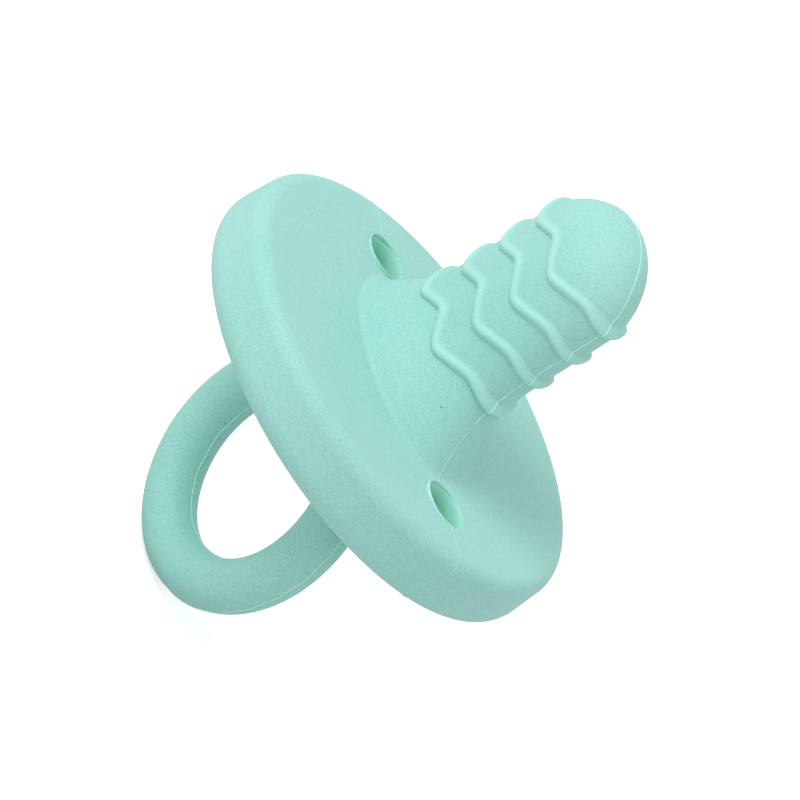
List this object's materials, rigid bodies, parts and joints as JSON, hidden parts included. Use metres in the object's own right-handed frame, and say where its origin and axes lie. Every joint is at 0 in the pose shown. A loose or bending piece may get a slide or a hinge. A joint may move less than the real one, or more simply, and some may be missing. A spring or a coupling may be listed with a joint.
{
  "type": "pacifier",
  "caption": "Soft one-material pacifier with a round vented shield, a ridged solid teat on a flared root and a round ring handle that flex on sprung hinges.",
  "frame": {"origin": "on the teat axis, in the plane of the shield's front rim crest", "axes": "+Z along the teat axis towards the tip, X through the two vents, Y square to the mould's parting plane that holds the ring"},
  "size_m": [0.0456, 0.0456, 0.058],
  "materials": {
    "silicone_shield": "matte moulded silicone, mint",
    "silicone_teat": "matte moulded silicone, mint",
    "silicone_ridge": "matte moulded silicone, mint",
    "silicone_ring": "matte moulded silicone, mint"
  },
  "bodies": {
    "shield": {"shield": "silicone_shield"},
    "teat_root": {"teat_root": "silicone_teat"},
    "teat": {"teat": "silicone_teat", "ridges_front": "silicone_ridge", "ridges_back": "silicone_ridge"},
    "ring": {"ring_root": "silicone_ring", "ring_handle": "silicone_ring"}
  },
  "joints": [
    {"name": "ring_flex", "type": "hinge", "parent": "shield", "child": "ring", "pos_m": [0, 0, -0.0104], "axis": [1, 0, 0], "range_deg": [-60, 60], "stiffness_Nm_per_rad": 0.004},
    {"name": "teat_nod", "type": "hinge", "parent": "shield", "child": "teat_root", "pos_m": [0, 0, 0.005], "axis": [1, 0, 0], "range_deg": [-20, 20], "stiffness_Nm_per_rad": 0.04},
    {"name": "teat_sway", "type": "hinge", "parent": "teat_root", "child": "teat", "pos_m": [0, 0, 0.009], "axis": [0, 1, 0], "range_deg": [-15, 15], "stiffness_Nm_per_rad": 0.04}
  ]
}
